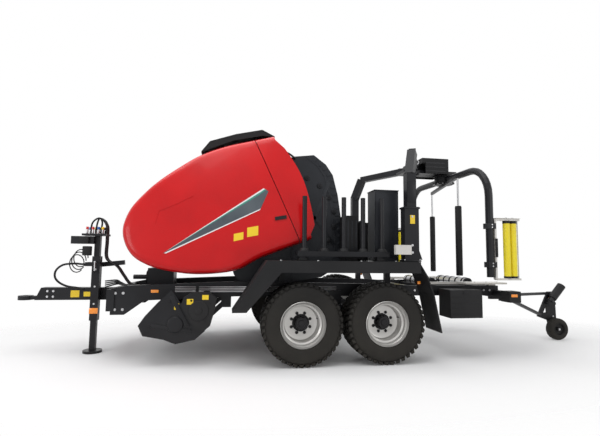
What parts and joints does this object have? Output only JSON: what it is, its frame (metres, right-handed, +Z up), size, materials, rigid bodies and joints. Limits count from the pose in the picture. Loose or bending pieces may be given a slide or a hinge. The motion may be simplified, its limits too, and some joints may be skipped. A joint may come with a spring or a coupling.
{
  "type": "round baler and bale wrapper combination",
  "caption": "Towed round baler with a bale wrapper behind it on one tandem chassis: red hood, film racks, gantry with turning wrapping arms, table and a trailing tail wheel.",
  "frame": {"origin": "middle of the footprint on the ground", "axes": "+X to the rear along the machine, +Z up, +Y to the machine's right"},
  "size_m": [9.04, 2.9, 3.33],
  "materials": {
    "black_steel": "satin",
    "black_plastic": "matte",
    "red_paint": "gloss",
    "cream_paint": "satin",
    "bare_steel": "brushed",
    "wheel_rubber": "matte",
    "soft_rubber": "matte",
    "yellow_plastic": "satin"
  },
  "bodies": {
    "chassis": {"main_frame": "black_steel", "drawbar": "black_steel", "parking_jack": "black_steel", "hose_stand": "black_steel", "gearbox": "black_steel", "chamber_front": "black_steel", "gantry": "black_steel", "control_cabinet": "black_steel", "roof_spoiler": "black_steel", "fender_left": "black_plastic", "bogie_left": "black_steel", "drive_guard_left": "black_plastic", "wrap_deck_left": "cream_paint", "lamp_left": "black_plastic", "fender_right": "black_plastic", "bogie_right": "black_steel", "drive_guard_right": "black_plastic", "wrap_deck_right": "cream_paint", "lamp_right": "black_plastic", "hood_roof": "red_paint", "hub_cover": "black_plastic", "oil_tank": "black_plastic", "wrapper_panel": "cream_paint", "toolbox": "black_plastic", "hose_upper": "soft_rubber"},
    "tailgate": {"tailgate": "black_steel"},
    "side_door_left": {"side_door_left": "red_paint"},
    "side_door_right": {"side_door_right": "red_paint"},
    "film_rack_left": {"film_rack_left": "black_steel"},
    "film_rack_right": {"film_rack_right": "black_steel"},
    "pickup": {"pickup_frame": "black_steel"},
    "pickup_reel": {"pickup_reel": "bare_steel"},
    "satellite": {"satellite_arms": "black_steel", "film_unit_front": "yellow_plastic", "film_unit_rear": "yellow_plastic"},
    "wrap_table": {"wrap_table": "black_steel"},
    "toolbox_door": {"toolbox_door": "black_plastic"},
    "tail_arm": {"tail_arm": "black_steel", "tip_roller": "soft_rubber"},
    "tail_wheel": {"tail_wheel": "wheel_rubber"},
    "wheel_front_left": {"wheel_front_left": "wheel_rubber"},
    "wheel_front_right": {"wheel_front_right": "wheel_rubber"},
    "wheel_rear_left": {"wheel_rear_left": "wheel_rubber"},
    "wheel_rear_right": {"wheel_rear_right": "wheel_rubber"}
  },
  "joints": [
    {"name": "wheel_front_left_spin", "type": "hinge", "parent": "chassis", "child": "wheel_front_left", "pos_m": [-0.5035, -1.19, 0.54], "axis": [0, 1, 0], "continuous": true},
    {"name": "wheel_front_right_spin", "type": "hinge", "parent": "chassis", "child": "wheel_front_right", "pos_m": [-0.5035, 1.19, 0.54], "axis": [0, 1, 0], "continuous": true},
    {"name": "wheel_rear_left_spin", "type": "hinge", "parent": "chassis", "child": "wheel_rear_left", "pos_m": [0.6435, -1.19, 0.54], "axis": [0, 1, 0], "continuous": true},
    {"name": "wheel_rear_right_spin", "type": "hinge", "parent": "chassis", "child": "wheel_rear_right", "pos_m": [0.6435, 1.19, 0.54], "axis": [0, 1, 0], "continuous": true},
    {"name": "tailgate_lift", "type": "hinge", "parent": "chassis", "child": "tailgate", "pos_m": [-0.55, 0, 2.99], "axis": [0, -1, 0], "range_deg": [0, 55]},
    {"name": "side_door_left_lift", "type": "hinge", "parent": "chassis", "child": "side_door_left", "pos_m": [-1.8, -0.68, 3.26], "axis": [-1, 0, 0], "range_deg": [0, 70]},
    {"name": "side_door_right_lift", "type": "hinge", "parent": "chassis", "child": "side_door_right", "pos_m": [-1.8, 0.68, 3.26], "axis": [1, 0, 0], "range_deg": [0, 70]},
    {"name": "film_rack_left_fold", "type": "hinge", "parent": "chassis", "child": "film_rack_left", "pos_m": [0.08, -1.3, 1.4], "axis": [1, 0, 0], "range_deg": [0, 80]},
    {"name": "film_rack_right_fold", "type": "hinge", "parent": "chassis", "child": "film_rack_right", "pos_m": [0.08, 1.3, 1.4], "axis": [-1, 0, 0], "range_deg": [0, 80]},
    {"name": "pickup_lift", "type": "hinge", "parent": "chassis", "child": "pickup", "pos_m": [-1.5, 0, 0.78], "axis": [0, 1, 0], "range_deg": [-12, 10]},
    {"name": "pickup_reel_spin", "type": "hinge", "parent": "pickup", "child": "pickup_reel", "pos_m": [-2.14, 0, 0.53], "axis": [0, 1, 0], "continuous": true},
    {"name": "satellite_spin", "type": "hinge", "parent": "chassis", "child": "satellite", "pos_m": [2.27, 0, 2.8], "axis": [0, 0, 1], "continuous": true},
    {"name": "wrap_table_tip", "type": "hinge", "parent": "chassis", "child": "wrap_table", "pos_m": [2.72, 0, 0.965], "axis": [0, 1, 0], "range_deg": [0, 35]},
    {"name": "toolbox_door_open", "type": "hinge", "parent": "chassis", "child": "toolbox_door", "pos_m": [1.92, -1.215, 0.57], "axis": [1, 0, 0], "range_deg": [0, 100]},
    {"name": "tail_arm_lift", "type": "hinge", "parent": "chassis", "child": "tail_arm", "pos_m": [2.9, -0.7, 0.83], "axis": [0, -1, 0], "range_deg": [0, 12]},
    {"name": "tail_wheel_spin", "type": "hinge", "parent": "tail_arm", "child": "tail_wheel", "pos_m": [4.33, -0.145, 0.19], "axis": [0, 1, 0], "continuous": true}
  ]
}
